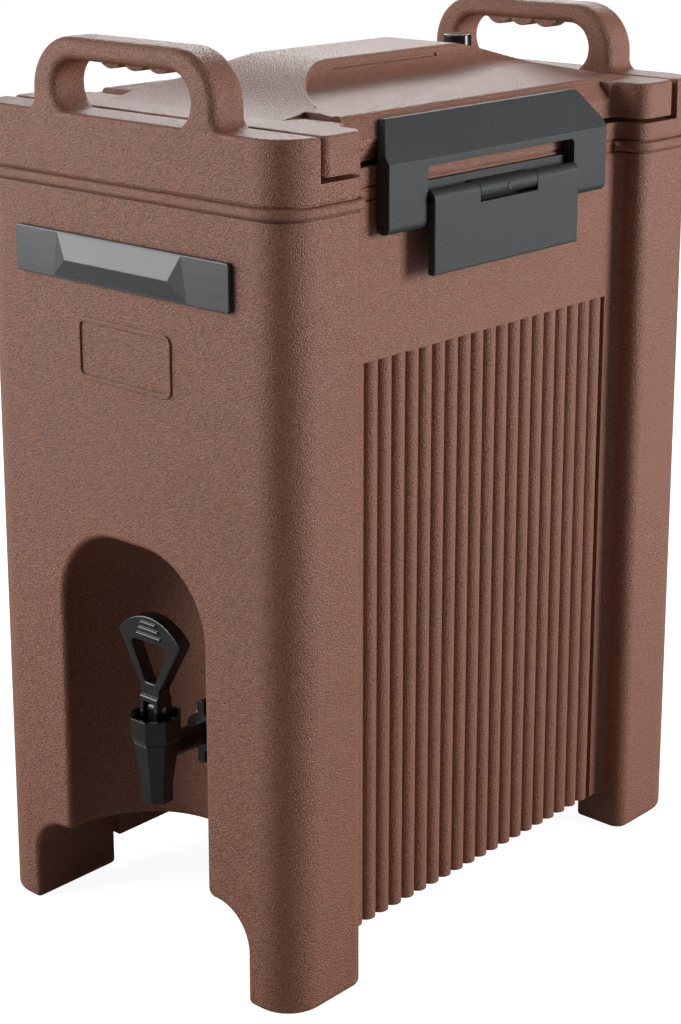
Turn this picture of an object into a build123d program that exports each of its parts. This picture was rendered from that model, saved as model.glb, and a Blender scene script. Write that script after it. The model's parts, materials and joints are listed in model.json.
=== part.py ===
from build123d import *
import os

# Insulated beverage dispenser: a double-walled moulded body with a lift-off lid, two draw latches and a tap.
# Millimetres, +Z up, the tap faces -Y, and the origin is on the floor under the middle of the body.

os.makedirs("parts", exist_ok=True)

# Driving dimensions of the body
width = 275.0
depth = 420.0
corner_radius = 26.0
rim_height = 548.0
handle_rise = 46.0
underside_height = 62.0
skirt_height = 25.0
wall = 4.0
foam_thickness = 24.0
overrun = 10.0

# Clearances: between neighbouring pieces, round pins and shafts that turn, and round fixed screws
seam_gap = 0.3
pin_clearance = 0.06
thread_clearance = 0.05

# Recessed side bays and their ribs
post_length = 69.0
bay_depth = 20.0
bay_edge_round = 10.0
bay_root_round = 7.0
rib_count = 20
rib_margin = 11.0
rib_depth = 4.0
rib_groove = 1.2
rib_top_drop = 120.0

# Rim blocks at the front and rear, between which the lid sits
rim_block = 29.0
rim_round = 2.6

# Tap niche
niche_margin = 35.0
niche_top = 280.0
niche_crown_half = 13.0
niche_depth = 72.0
niche_lip_round = 4.0
niche_foot_round = 6.0

# Tunnel under the body, between the feet
foot_width = 37.5
skirt_thickness = 24.0
tunnel_round = 27.0
foot_round = 4.0

# Moulding line round the body and the label frame on its front
bead_drop = 16.0
bead_proud = 3.0
bead_thickness = 7.0
bead_round = 2.4
bead_groove = 1.2
frame_width = 84.0
frame_height = 40.0
frame_drop = 57.0
frame_bead = 3.0
frame_proud = 1.2
frame_round = 6.0

# Carrying handles
handle_inset = 57.5
handle_round = 34.0
handle_flare = 8.0
handle_edge_round = 6.0
handle_bar = 21.0
grip_height = 34.0
grip_sill = 2.0
finger_count = 3
finger_pitch = 21.0
finger_radius = 13.0
finger_drop = 4.5
finger_root = 2.0
finger_length = 12.0
finger_setback = 3.0

# Inner tank
side_foam = 24.5
end_foam = 42.0
floor_foam = 17.0
tank_round = 22.0
tank_floor_round = 10.0
flange_width = 10.0
flange_thickness = 5.0
deck_thickness = 10.0

# Nameplate with a low ridge across it
plate_inset = 42.5
plate_height = 30.0
plate_drop = 62.0
plate_thickness = 3.5
plate_corner_round = 2.0
plate_edge_round = 0.8
ridge_width = 92.0
ridge_foot_width = 120.0
ridge_head_width = 110.0
ridge_margin = 1.2
ridge_drop = 2.0
ridge_proud = 2.5
ridge_land = 0.6

# Lid: slab with tabs, bevelled bay edges, raised spine with a ramp at each end, and a scoop on each side
lid_gap = 3.0
lid_thickness = 24.0
lid_inset = 4.0
lid_tab_round = 6.0
lid_edge_round = 2.5
lid_bay_face = 12.3
bevel_run_share = 0.64
spine_rise = 26.0
spine_half = 31.0
spine_edge_round = 3.0
spine_front_run = 117.0
spine_rear_run = 112.0
ramp_front_margin = 13.0
ramp_front_hold_run = 65.0
ramp_front_pull_run = 67.0
ramp_rear_margin = 6.0
ramp_rear_hold_run = 32.0
ramp_rear_pull_run = 84.0
ramp_rear_lift = 4.0
ramp_side_inset = 22.5
ramp_root = 4.0
ramp_toe = 0.6
ramp_over = 0.5
scoop_front_run = 47.0
scoop_bend_offset = 5.0
scoop_bend_run = 67.0
scoop_end_run = 107.0
tail_side_inset = 32.5
tail_front_run = 102.0
tail_bend_run = 42.0
tail_rear_run = 10.0
floor_foot_run = 19.0
floor_foot_rise = 8.6
floor_rim_rise = 2.0
lid_rim_inset = 8.0
lid_rim_width = 7.0
lid_rim_crown = 3.3
lid_rim_rise = 3.0
floor_front_run = 37.0
spine_groove_radius = 1.3
spine_groove_lead = 9.0
spine_groove_stop = 13.0
spine_groove_drop = 5.5
spine_groove_offset = 2.2

# Inside of the lid
lid_roof = 7.0
lid_side_wall = 9.5
lid_end_wall = 6.0
lid_hollow_round = 10.0
spine_side_wall = 9.0
spine_end_wall = 8.0
spine_hollow_drop = 6.0
liner_thickness = 3.0
plug_gap = 3.0
plug_round = 16.0
plug_drop = 21.0
gasket_overlap = 8.0
gasket_round = 28.0
gasket_band = 10.5
lid_screw_inset = 5.5
lid_screw_pitch = 110.0
lid_screw_radius = 1.9
lid_screw_length = 13.0
lid_screw_head_radius = 3.4
lid_screw_head = 1.6
lid_boss_radius = 5.2
screw_slot_width = 1.0
screw_slot_depth = 0.8

# Vent in the lid
vent_setback = 62.0
vent_floor_drop = 14.0
vent_pocket_radius = 13.0
vent_cap_radius = 10.0
vent_cap_height = 13.0
vent_cap_round = 0.9
vent_gasket_radius = 8.6
vent_gasket_thickness = 2.0
vent_stem_radius = 2.9
vent_stem_length = 18.0
sleeve_radius = 5.0
sleeve_tail = 2.0

# Draw latch: axle of the lever, link to the bail, bracket, lever and bail
axle_reach = 10.5
axle_drop = 24.0
link_back = 4.25
link_drop = 13.0
bracket_thickness = 4.0
bracket_gap = 2.0
bracket_rise = 10.0
bracket_drop = 29.0
bracket_corner_round = 5.0
strip_drop = 5.0
knuckle_half = 29.0
barrel_radius = 5.5
barrel_gap = 0.6
lever_gap = 1.0
lever_pin_radius = 2.0
lever_pin_inset = 1.0
flap_offset = 0.5
flap_thickness = 5.0
flap_drop = 47.0
flap_edge_round = 1.2
flap_notch_depth = 6.9
lug_radius = 4.5
lug_inset = 0.5
lug_length = 15.5
bail_pin_radius = 1.75
bail_pin_inset = 0.5
bail_margin = 30.0
leg_half = 4.75
leg_width = 36.0
window_drop = 3.0
window_round = 4.0
bail_rise = 26.0
bail_knee_rise = 7.5
bail_bend_rise = 1.0
bail_lip = 5.34
bail_corner_run = 14.0
bail_corner_drop = 20.0
bail_edge_round = 0.8
bracket_screw_inset = 14.0
bracket_screw_drop = 17.0
bracket_screw_radius = 1.8
bracket_screw_bite = 6.0
bracket_screw_head_radius = 3.5
bracket_screw_head = 1.8
knuckle_screw_radius = 1.4
knuckle_screw_head_radius = 2.2
knuckle_screw_proud = 0.5

# Tap: spout body, bonnet, valve and handle
tap_setback = 20.0
tap_height = 134.0
spout_radius = 10.0
spout_drop = 33.0
spout_straight = 11.0
spout_bore_radius = 6.5
shoulder_radius = 14.5
shoulder_rise = 9.0
neck_radius = 11.8
neck_height = 6.0
chamber_radius = 9.5
seat_drop = 13.0
bonnet_radius = 16.0
bonnet_height = 17.0
bonnet_flare = 3.5
bonnet_floor_thickness = 3.7
cup_radius = 13.8
tap_sides = 8
stem_radius = 3.0
blade_half = 4.6
blade_half_depth = 4.2
handle_pin_rise = 31.0
handle_pin_radius = 2.0
handle_pin_half = 7.6
blade_slack = 1.0
foot_flat = 5.0
foot_corner = 1.5
cheek_inner = 5.0
cheek_outer = 8.0
cheek_rise = 9.0
loop_half = 29.0
loop_shoulder_rise = 49.0
loop_top_rise = 63.0
loop_neck_rise = 13.0
loop_half_depth = 5.0
loop_hole_top_half = 18.0
loop_hole_top_rise = 45.0
loop_hole_low_half = 4.5
loop_hole_low_rise = 18.0
loop_hole_round = 3.0
loop_edge_round = 1.0
grip_ridge_count = 3
grip_ridge_length = 22.0
grip_ridge_radius = 1.1
grip_ridge_pitch = 4.2
grip_ridge_rise = 50.0
seat_cup_radius = 8.4
seat_cup_height = 7.0
seat_cup_gap = 0.1
seat_cup_grip = 3.0
spring_radius = 6.0
spring_wire_radius = 0.7
spring_pitch = 4.6

# Tap shank through the wall, with its wing collar, washers and nut
shank_radius = 8.0
shank_bore_radius = 5.5
shank_tail = 12.0
boss_radius = 17.0
boss_proud = 2.6
washer_radius = 14.5
washer_thickness = 2.0
collar_radius = 13.0
collar_length = 7.5
collar_ear_width = 6.0
collar_ear_reach = 22.0
collar_ear_round = 2.0
nut_radius = 12.0
nut_length = 7.5
nut_sides = 6

# Levels and faces that several pieces share
bay_length = depth - 2 * post_length
bay_half = bay_length / 2
rib_pitch = (bay_length - 2 * rib_margin) / rib_count
panel_x = width / 2 - bay_depth
cavity_x = panel_x - rib_depth - wall
front_y = -depth / 2
rim_inner_y = depth / 2 - rim_block
seat_height = rim_height - lid_thickness - lid_gap
rib_top = seat_height - rib_top_drop
bead_height = seat_height - bead_drop
plate_width = width - 2 * plate_inset
plate_level = seat_height - plate_drop
frame_level = plate_level - frame_drop
handle_width = width - 2 * handle_inset
grip_width = handle_width - 2 * handle_bar
tunnel_width = width - 2 * foot_width
niche_width = tunnel_width - 2 * niche_margin
niche_radius = niche_width / 2
niche_dome = niche_radius - niche_crown_half
niche_back_y = front_y + niche_depth
niche_axis_y = niche_back_y - niche_radius
cavity_floor = underside_height + wall
deck_floor = seat_height - deck_thickness
tank_width = 2 * (cavity_x - side_foam)
tank_length = depth - 2 * (wall + end_foam)
tank_floor = cavity_floor + floor_foam
tank_step_y = niche_back_y + wall + foam_thickness
tank_step_height = niche_top + wall + foam_thickness
flange_floor = seat_height - flange_thickness
lid_floor = seat_height + lid_gap
lid_top = lid_floor + lid_thickness
lid_half = rim_inner_y - lid_gap
lid_panel_x = panel_x - lid_inset
lid_ceiling = lid_top - lid_roof
lid_hollow_width = 2 * (lid_panel_x - lid_side_wall)
lid_hollow_length = 2 * (lid_half - lid_end_wall)
lid_screw_x = lid_hollow_width / 2 - lid_screw_inset
liner_top = lid_floor + liner_thickness
plug_width = tank_width - 2 * (wall + plug_gap)
plug_length = tank_length - 2 * (wall + plug_gap)
gasket_width = tank_width + 2 * gasket_overlap
gasket_length = tank_length + 2 * gasket_overlap
ramp_front = ramp_front_margin - lid_half
ramp_rear = lid_half - ramp_rear_margin
spine_top = lid_top + spine_rise
spine_front = ramp_front + spine_front_run
spine_rear = ramp_rear - spine_rear_run
spine_hollow_width = 2 * (spine_half - spine_side_wall)
spine_hollow_length = spine_rear - spine_front - 2 * spine_end_wall
lid_rim_x = lid_panel_x - lid_rim_inset
floor_rim_x = lid_rim_x - lid_rim_width
vent_y = ramp_rear - vent_setback
vent_floor = spine_top - vent_floor_drop
vent_seat = vent_floor + vent_gasket_thickness
axle_x = panel_x + axle_reach
axle_z = seat_height - axle_drop
link_x = axle_x - link_back
link_z = axle_z - link_drop
bail_half = bay_half - bail_margin
window_half = bail_half - leg_width
lever_half = window_half - lever_gap
lug_outer = lever_half - lug_inset
lug_inner = lug_outer - lug_length
bracket_half = lug_inner - bracket_gap
bracket_screw_y = bracket_half - bracket_screw_inset
tap_y = front_y + tap_setback
spout_low = tap_height - spout_drop
shoulder_height = tap_height + shoulder_rise
seat_level = tap_height - seat_drop
handle_pin_height = tap_height + handle_pin_rise
bonnet_low = shoulder_height + seam_gap
neck_top = shoulder_height + neck_height
bonnet_ceiling = neck_top + seam_gap
cup_floor = bonnet_ceiling + bonnet_floor_thickness
seat_cup_low = seat_level + seat_cup_gap
boss_face_y = niche_back_y - boss_proud
tank_wall_y = tank_step_y + wall
shank_end_y = tank_wall_y + shank_tail


def plan_form(bay_x):
    """Plan of the body: a rounded rectangle with a round-cornered bay let into each side as far as bay_x."""
    with BuildSketch() as plan:
        RectangleRounded(width, depth, corner_radius)
        with Locations((width / 2, 0), (-width / 2, 0)):
            Rectangle(width - 2 * bay_x, bay_length, mode=Mode.SUBTRACT)
        corners = plan.vertices().filter_by_position(Axis.Y, -bay_half - seam_gap, bay_half + seam_gap)
        ranks = corners.group_by(Axis.X)
        fillet(ranks[0] + ranks[-1], bay_edge_round)
        middle = plan.vertices().filter_by_position(Axis.X, -bay_x - seam_gap, bay_x + seam_gap)
        fillet(middle.filter_by_position(Axis.Y, -bay_half - seam_gap, bay_half + seam_gap), bay_root_round)
    return plan.sketch


def niche_form(grow):
    """The tap niche, grown by a thickness: a domed round well whose arch runs out through the front."""
    radius = niche_radius + grow
    crown = niche_top + grow
    dome = niche_dome + grow
    axis_plane = Plane.XZ.offset(-niche_axis_y)
    with BuildPart() as form:
        with BuildSketch(axis_plane):
            with BuildLine():
                Polyline((0, -overrun), (radius, -overrun), (radius, crown - dome))
                CenterArc((radius - dome, crown - dome), dome, 0, 90)
                Polyline((radius - dome, crown), (0, crown), (0, -overrun))
            make_face()
        revolve(axis=Axis((0, niche_axis_y, 0), (0, 0, 1)), revolution_arc=180)
        with BuildSketch(axis_plane) as arch:
            with Locations((0, (crown - overrun) / 2)):
                Rectangle(2 * radius, crown + overrun)
            fillet(arch.vertices().group_by(Axis.Y)[-1], dome)
        extrude(amount=niche_axis_y - front_y + overrun)
    return form.part


def cavity_form(gap, niche_skin):
    """The hollow between the shell and the tank, drawn in by a gap and kept clear of the niche's skin."""
    inset = wall + gap
    with BuildPart() as form:
        with BuildSketch(Plane.XY.offset(cavity_floor + gap)):
            RectangleRounded(width - 2 * inset, depth - 2 * inset, corner_radius - inset)
            with Locations((width / 2, 0), (-width / 2, 0)):
                Rectangle(width - 2 * cavity_x + 2 * gap, bay_length + 2 * inset, mode=Mode.SUBTRACT)
        extrude(amount=deck_floor - cavity_floor - 2 * gap)
        add(niche_skin, mode=Mode.SUBTRACT)
    return form.part


def handle_form():
    """The front carrying handle: a rounded loop, flush with the front, with finger rests under its bar."""
    half = handle_width / 2
    top = rim_height + handle_rise
    base_half = half + 2 * handle_flare
    base_level = rim_height - 2 * handle_flare
    grip_floor = rim_height - grip_sill
    grip_top = grip_floor + grip_height
    finger_y = front_y + rim_block - finger_setback - finger_length / 2
    with BuildPart() as form:
        with BuildSketch(Plane.XZ.offset(-front_y)):
            with BuildLine():
                Polyline((0, base_level), (base_half, base_level), (base_half, rim_height))
                Line((base_half, rim_height), (half + handle_flare, rim_height))
                CenterArc((half + handle_flare, rim_height + handle_flare), handle_flare, 180, 90)
                Line((half, rim_height + handle_flare), (half, top - handle_round))
                CenterArc((half - handle_round, top - handle_round), handle_round, 0, 90)
                Line((half - handle_round, top), (0, top))
                mirror(about=Plane.YZ)
            make_face()
            with Locations((0, grip_floor + grip_height / 2)):
                SlotOverall(grip_width, grip_height, mode=Mode.SUBTRACT)
        extrude(amount=-rim_block)
        rims = form.faces().filter_by(Axis.Y).edges()
        fillet(rims.filter_by_position(Axis.Z, rim_height - seam_gap, top), handle_edge_round)
        with BuildSketch(Plane.XZ.offset(-finger_y)):
            with Locations((0, grip_top - finger_drop + finger_radius)):
                with GridLocations(finger_pitch, 0, finger_count, 1):
                    Circle(finger_radius)
            with Locations((0, grip_top + finger_root)):
                Rectangle(
                    handle_width, 2 * finger_radius, align=(Align.CENTER, Align.MIN), mode=Mode.SUBTRACT
                )
        extrude(amount=finger_length / 2, both=True)
    return form.part


def bead_form():
    """The moulding line: a rounded band round the body that stops inside the bays."""
    reach = bay_half - bay_root_round
    with BuildPart() as form:
        with BuildSketch(Plane.XY.offset(bead_height - bead_thickness / 2)):
            add(body_plan)
            offset(amount=bead_proud)
            Rectangle(2 * width, 2 * reach, mode=Mode.SUBTRACT)
        extrude(amount=bead_thickness)
        rims = form.faces().filter_by(Axis.Z).edges()
        fillet(rims.filter_by(lambda edge: abs(edge.center().Y) > reach + seam_gap), bead_round)
    return form.part


def tank_form(grow, top):
    """The tank's outline grown by a thickness, with its front set back below the niche's step."""
    length = tank_length / 2 - tank_step_y
    with BuildPart() as form:
        with BuildSketch(Plane.XY.offset(tank_floor - grow)):
            with Locations((0, (tank_length / 2 + tank_step_y) / 2)):
                RectangleRounded(tank_width + 2 * grow, length + 2 * grow, tank_round + grow)
        extrude(amount=top - tank_floor + grow)
        fillet(form.faces().sort_by(Axis.Z)[0].edges(), tank_floor_round + grow)
        with BuildSketch(Plane.XY.offset(tank_step_height - grow)):
            RectangleRounded(tank_width + 2 * grow, tank_length + 2 * grow, tank_round + grow)
        extrude(amount=top - tank_step_height + grow)
    return form.part


body_plan = plan_form(panel_x)
niche_hollow = niche_form(0)
niche_skin = niche_form(wall)
niche_clear = niche_form(wall + seam_gap)
shell_hollow = cavity_form(0, niche_skin)
foam_fill = cavity_form(seam_gap, niche_clear)
front_handle = handle_form()
moulding_line = bead_form()
tank_outside = tank_form(0, seat_height)
tank_inside = tank_form(-wall, seat_height + overrun)
tank_clear = tank_form(seam_gap, seat_height)
rib_zone = rib_count * rib_pitch
rib_chord = (rib_pitch - rib_groove) / 2
rib_radius = (rib_chord ** 2 + rib_depth ** 2) / (2 * rib_depth)

# Outer shell: one moulding with pilasters, ribbed bays, feet, niche, handles and moulding line
with BuildPart() as outer_shell:
    with BuildSketch():
        add(body_plan)
    extrude(amount=rim_height)
    with Locations((0, 0, seat_height)):
        Box(
            width + overrun, 2 * rim_inner_y, rim_height - seat_height + overrun,
            align=(Align.CENTER, Align.CENTER, Align.MIN), mode=Mode.SUBTRACT,
        )
    Box(width + overrun, bay_length, 2 * skirt_height, mode=Mode.SUBTRACT)
    with BuildSketch(Plane.XZ):
        RectangleRounded(
            2 * (panel_x - skirt_thickness), 2 * underside_height,
            tunnel_round - tunnel_width / 2 + panel_x - skirt_thickness,
        )
    extrude(amount=depth, both=True, mode=Mode.SUBTRACT)
    for end in (1, -1):
        with BuildSketch(Plane.XZ.offset(end * bay_half)):
            RectangleRounded(tunnel_width, 2 * underside_height, tunnel_round)
        extrude(amount=end * depth / 2, mode=Mode.SUBTRACT)
    rim_faces = outer_shell.faces().filter_by(Axis.Z).group_by(Axis.Z)[-1]
    fillet(rim_faces.edges(), rim_round)
    add(niche_hollow, mode=Mode.SUBTRACT)
    ceiling_edges = outer_shell.edges().filter_by_position(
        Axis.Z, underside_height - seam_gap, underside_height + seam_gap
    ).filter_by_position(Axis.X, -niche_radius - seam_gap, niche_radius + seam_gap)
    fillet(
        ceiling_edges.filter_by(lambda edge: front_y + seam_gap < edge.center().Y < niche_back_y + seam_gap),
        niche_foot_round,
    )
    mouth = outer_shell.edges().filter_by_position(Axis.Y, front_y - seam_gap, front_y + seam_gap)
    mouth = mouth.filter_by_position(Axis.X, -tunnel_width / 2 - seam_gap, tunnel_width / 2 + seam_gap)
    fillet(
        mouth.filter_by(lambda edge: 0 < edge.center().Z < niche_top + seam_gap), niche_lip_round
    )
    with BuildSketch(Plane.XY.offset(-overrun)):
        with Locations((panel_x, 0), (-panel_x, 0)):
            Rectangle(2 * rib_depth, rib_zone)
        for side in (1, -1):
            with Locations((side * (panel_x - rib_radius), 0)):
                with GridLocations(0, rib_pitch, 1, rib_count):
                    Circle(rib_radius, mode=Mode.SUBTRACT)
    extrude(amount=rib_top + overrun, mode=Mode.SUBTRACT)
    for level in (bead_height + bead_thickness / 2, bead_height - bead_thickness / 2 - bead_groove):
        with BuildSketch(Plane.XY.offset(level)):
            RectangleRounded(width + overrun, depth + overrun, corner_radius)
            with BuildSketch(mode=Mode.PRIVATE) as core:
                add(body_plan)
                offset(amount=-bead_groove)
            add(core.sketch, mode=Mode.SUBTRACT)
        extrude(amount=bead_groove, mode=Mode.SUBTRACT)
    add(moulding_line)
    with BuildSketch(Plane.XZ.offset(-front_y)):
        with Locations((0, frame_level)):
            RectangleRounded(frame_width, frame_height, frame_round)
            RectangleRounded(
                frame_width - 2 * frame_bead, frame_height - 2 * frame_bead, frame_round - frame_bead,
                mode=Mode.SUBTRACT,
            )
    extrude(amount=frame_proud)
    add(front_handle)
    mirror(front_handle, about=Plane.XZ)
    with BuildSketch(Plane.XZ.offset(-boss_face_y)):
        with Locations((0, tap_height)):
            Circle(boss_radius)
    extrude(amount=-boss_proud - wall / 2)
    add(shell_hollow, mode=Mode.SUBTRACT)
    with BuildSketch(Plane.XY.offset(deck_floor - overrun)):
        RectangleRounded(tank_width + 2 * seam_gap, tank_length + 2 * seam_gap, tank_round + seam_gap)
    extrude(amount=deck_thickness + 2 * overrun, mode=Mode.SUBTRACT)
    with BuildSketch(Plane.XY.offset(flange_floor)):
        RectangleRounded(
            tank_width + 2 * flange_width + 2 * seam_gap, tank_length + 2 * flange_width + 2 * seam_gap,
            tank_round + flange_width + seam_gap,
        )
    extrude(amount=flange_thickness + overrun, mode=Mode.SUBTRACT)
    with BuildSketch(Plane.XZ.offset(-boss_face_y + overrun)):
        with Locations((0, tap_height)):
            Circle(shank_radius + thread_clearance)
    extrude(amount=-boss_proud - wall - 2 * overrun, mode=Mode.SUBTRACT)
    for side in (1, -1):
        with BuildSketch(Plane.YZ.offset(side * panel_x)):
            with Locations((0, axle_z - bracket_screw_drop)):
                with GridLocations(2 * bracket_screw_y, 0, 2, 1):
                    Circle(bracket_screw_radius + thread_clearance)
        extrude(amount=-side * (bracket_screw_bite + seam_gap), mode=Mode.SUBTRACT)
    soles = outer_shell.faces().filter_by(Axis.Z).group_by(Axis.Z)[0]
    fillet(soles.edges(), foot_round)

outer_shell.part.label = "outer_shell"
export_step(outer_shell.part, "parts/outer_shell.step")

# Inner tank: a stepped tub with a flange that rests in the shell's deck
with BuildPart() as inner_tank:
    add(tank_outside)
    with BuildSketch(Plane.XY.offset(flange_floor)):
        RectangleRounded(
            tank_width + 2 * flange_width, tank_length + 2 * flange_width, tank_round + flange_width
        )
    extrude(amount=flange_thickness)
    add(tank_inside, mode=Mode.SUBTRACT)
    with BuildSketch(Plane.XZ.offset(-tank_step_y + wall)):
        with Locations((0, tap_height)):
            Circle(shank_radius + thread_clearance)
    extrude(amount=-3 * wall, mode=Mode.SUBTRACT)

inner_tank.part.label = "inner_tank"
export_step(inner_tank.part, "parts/inner_tank.step")

# Foam insulation: fills the hollow between shell and tank
with BuildPart() as foam_insulation:
    add(foam_fill)
    add(tank_clear, mode=Mode.SUBTRACT)
    with BuildSketch(Plane.XZ.offset(-niche_back_y)):
        with Locations((0, tap_height)):
            Circle(shank_radius + seam_gap)
    extrude(amount=-wall - foam_thickness - overrun, mode=Mode.SUBTRACT)

foam_insulation.part.label = "foam_insulation"
export_step(foam_insulation.part, "parts/foam_insulation.step")

# Nameplate: a bare plate with a low hipped ridge
plate_face_y = front_y - plate_thickness
with BuildPart() as nameplate:
    with BuildSketch(Plane.XZ.offset(-front_y)):
        with Locations((0, plate_level)):
            RectangleRounded(plate_width, plate_height, plate_corner_round)
    extrude(amount=plate_thickness)
    fillet(nameplate.faces().sort_by(Axis.Y)[0].edges(), plate_edge_round)
    with BuildSketch(Plane.XZ.offset(-plate_face_y)):
        foot_z = plate_level - plate_height / 2 + ridge_margin
        head_z = plate_level + plate_height / 2 - ridge_margin
        with BuildLine():
            Polyline(
                (-ridge_foot_width / 2, foot_z), (ridge_foot_width / 2, foot_z),
                (ridge_head_width / 2, head_z), (-ridge_head_width / 2, head_z), close=True,
            )
        make_face()
    with BuildSketch(Plane.XZ.offset(-plate_face_y + ridge_proud)):
        with Locations((0, plate_level - ridge_drop)):
            Rectangle(ridge_width, ridge_land)
    loft(ruled=True)

nameplate.part.label = "nameplate"
export_step(nameplate.part, "parts/nameplate.step")


def ramp_form():
    """Everything under the lid's lengthwise outline: front ramp, level spine and rear ramp."""
    toe = lid_top - ramp_toe
    crest = spine_top + ramp_over
    with BuildPart() as form:
        with BuildSketch(Plane.YZ):
            with BuildLine():
                Bezier(
                    (ramp_front, toe), (ramp_front + ramp_front_hold_run, toe),
                    (ramp_front + ramp_front_pull_run, crest), (spine_front, crest),
                )
                Line((spine_front, crest), (spine_rear, crest))
                Bezier(
                    (spine_rear, crest), (ramp_rear - ramp_rear_pull_run, crest),
                    (ramp_rear - ramp_rear_hold_run, lid_top + ramp_rear_lift), (ramp_rear, toe),
                )
                Polyline(
                    (ramp_rear, toe), (ramp_rear, lid_top - ramp_root),
                    (ramp_front, lid_top - ramp_root), (ramp_front, toe),
                )
            make_face()
        extrude(amount=width / 2, both=True)
    return form.part


def crown_form():
    """The raised top of the lid: spine, scoop floors with their rims, and the two ramps."""
    low = lid_top - ramp_root
    foot_z = lid_top + floor_foot_rise
    rim_z = lid_top + floor_rim_rise
    floor_front = ramp_front + floor_front_run
    floor_rear = ramp_rear + overrun
    floor_foot_x = spine_half + floor_foot_run
    rim_crown_x = lid_rim_x - lid_rim_crown
    block_half = spine_half - spine_edge_round
    bend_x = spine_half + scoop_bend_offset
    ramp_half = floor_rim_x - ramp_side_inset
    tail_half = floor_rim_x - tail_side_inset
    scoop_front = ramp_front + scoop_front_run
    scoop_bend_y = ramp_front + scoop_bend_run
    scoop_end_y = ramp_front + scoop_end_run
    tail_front = ramp_rear - tail_front_run
    tail_bend_y = ramp_rear - tail_bend_run
    tail_rear = ramp_rear - tail_rear_run
    with BuildPart() as form:
        with BuildSketch(Plane.XZ.offset(-floor_rear)) as section:
            with BuildLine():
                Polyline((0, low), (lid_rim_x, low), (lid_rim_x, lid_top))
                ThreePointArc(
                    (lid_rim_x, lid_top), (rim_crown_x, lid_top + lid_rim_rise), (floor_rim_x, rim_z)
                )
                Line((floor_rim_x, rim_z), (floor_foot_x, foot_z))
                TangentArc(
                    (floor_foot_x, foot_z), (spine_half, spine_top),
                    tangent=(floor_foot_x - floor_rim_x, foot_z - rim_z),
                )
                Line((spine_half, spine_top), (0, spine_top))
                mirror(about=Plane.YZ)
            make_face()
            tops = section.vertices().group_by(Axis.Y)[-1]
            fillet(tops.filter_by(lambda corner: abs(corner.X) > spine_half / 2), spine_edge_round)
        extrude(amount=floor_rear - floor_front)
        with BuildSketch(Plane.XY.offset(low)):
            with BuildLine():
                Polyline((0, ramp_front), (ramp_half, ramp_front), (ramp_half, scoop_front))
                Bezier((ramp_half, scoop_front), (bend_x, scoop_bend_y), (block_half, scoop_end_y))
                Polyline((block_half, scoop_end_y), (block_half, 0), (0, 0))
                mirror(about=Plane.YZ)
            make_face()
            with BuildLine():
                Polyline((0, tail_front), (block_half, tail_front))
                Bezier((block_half, tail_front), (bend_x, tail_bend_y), (tail_half, tail_rear))
                Polyline((tail_half, tail_rear), (tail_half, ramp_rear), (0, ramp_rear))
                mirror(about=Plane.YZ)
            make_face()
        extrude(amount=spine_rise + ramp_root)
        add(ramp_form_part, mode=Mode.INTERSECT)
    return form.part


ramp_form_part = ramp_form()
lid_plan = plan_form(lid_panel_x)
lid_crown = crown_form()

# Lid cover: slab between the rim blocks with corner tabs, bevelled bay edges and the raised crown
with BuildPart() as lid_cover:
    with BuildSketch(Plane.XY.offset(lid_floor)) as slab:
        add(lid_plan)
        Rectangle(width + overrun, 2 * lid_half, mode=Mode.INTERSECT)
        ends = slab.vertices().group_by(Axis.Y)
        fillet(ends[0] + ends[-1], lid_tab_round)
    extrude(amount=lid_thickness)
    fillet(lid_cover.faces().sort_by(Axis.Z)[-1].edges(), lid_edge_round)
    bevel_low = lid_floor + lid_bay_face
    bevel_rise = lid_top - bevel_low + overrun
    with BuildSketch(Plane.XZ):
        with BuildLine():
            Polyline(
                (lid_panel_x, bevel_low),
                (lid_panel_x - bevel_run_share * bevel_rise, bevel_low + bevel_rise),
                (lid_panel_x + overrun, bevel_low + bevel_rise), (lid_panel_x + overrun, bevel_low),
                close=True,
            )
        make_face()
        mirror(about=Plane.YZ)
    extrude(amount=bay_half - bay_root_round, both=True, mode=Mode.SUBTRACT)
    add(lid_crown)
    groove_x = spine_half + spine_groove_offset
    groove_front = spine_front - spine_groove_lead
    groove_rear = spine_rear - spine_groove_stop
    groove_y = (groove_front + groove_rear) / 2
    with Locations((groove_x, groove_y), (-groove_x, groove_y)):
        with Locations((0, 0, spine_top - spine_groove_drop)):
            Cylinder(
                spine_groove_radius, groove_rear - groove_front, rotation=(90, 0, 0), mode=Mode.SUBTRACT
            )
    with BuildSketch(Plane.XY.offset(lid_floor - overrun)):
        RectangleRounded(lid_hollow_width, lid_hollow_length, lid_hollow_round)
    extrude(amount=lid_ceiling - lid_floor + overrun, mode=Mode.SUBTRACT)
    with BuildSketch(Plane.XY.offset(lid_ceiling - overrun)):
        with Locations((0, (spine_front + spine_rear) / 2)):
            RectangleRounded(spine_hollow_width, spine_hollow_length, lid_hollow_round)
    extrude(amount=spine_top - spine_hollow_drop - lid_ceiling + overrun, mode=Mode.SUBTRACT)
    with BuildSketch(Plane.XY.offset(liner_top)):
        with GridLocations(2 * lid_screw_x, lid_screw_pitch, 2, 3):
            Circle(lid_boss_radius)
    extrude(amount=lid_ceiling - liner_top + wall / 2)
    with BuildSketch(Plane.XY.offset(liner_top)):
        with GridLocations(2 * lid_screw_x, lid_screw_pitch, 2, 3):
            Circle(lid_screw_radius + thread_clearance)
    extrude(amount=lid_screw_length - liner_thickness + seam_gap, mode=Mode.SUBTRACT)
    with BuildSketch(Plane.XY.offset(vent_floor)):
        with Locations((0, vent_y)):
            Circle(vent_pocket_radius)
    extrude(amount=vent_floor_drop + overrun, mode=Mode.SUBTRACT)
    with BuildSketch(Plane.XY.offset(lid_floor)):
        with Locations((0, vent_y)):
            Circle(sleeve_radius + thread_clearance)
    extrude(amount=vent_floor - lid_floor + overrun, mode=Mode.SUBTRACT)

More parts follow.
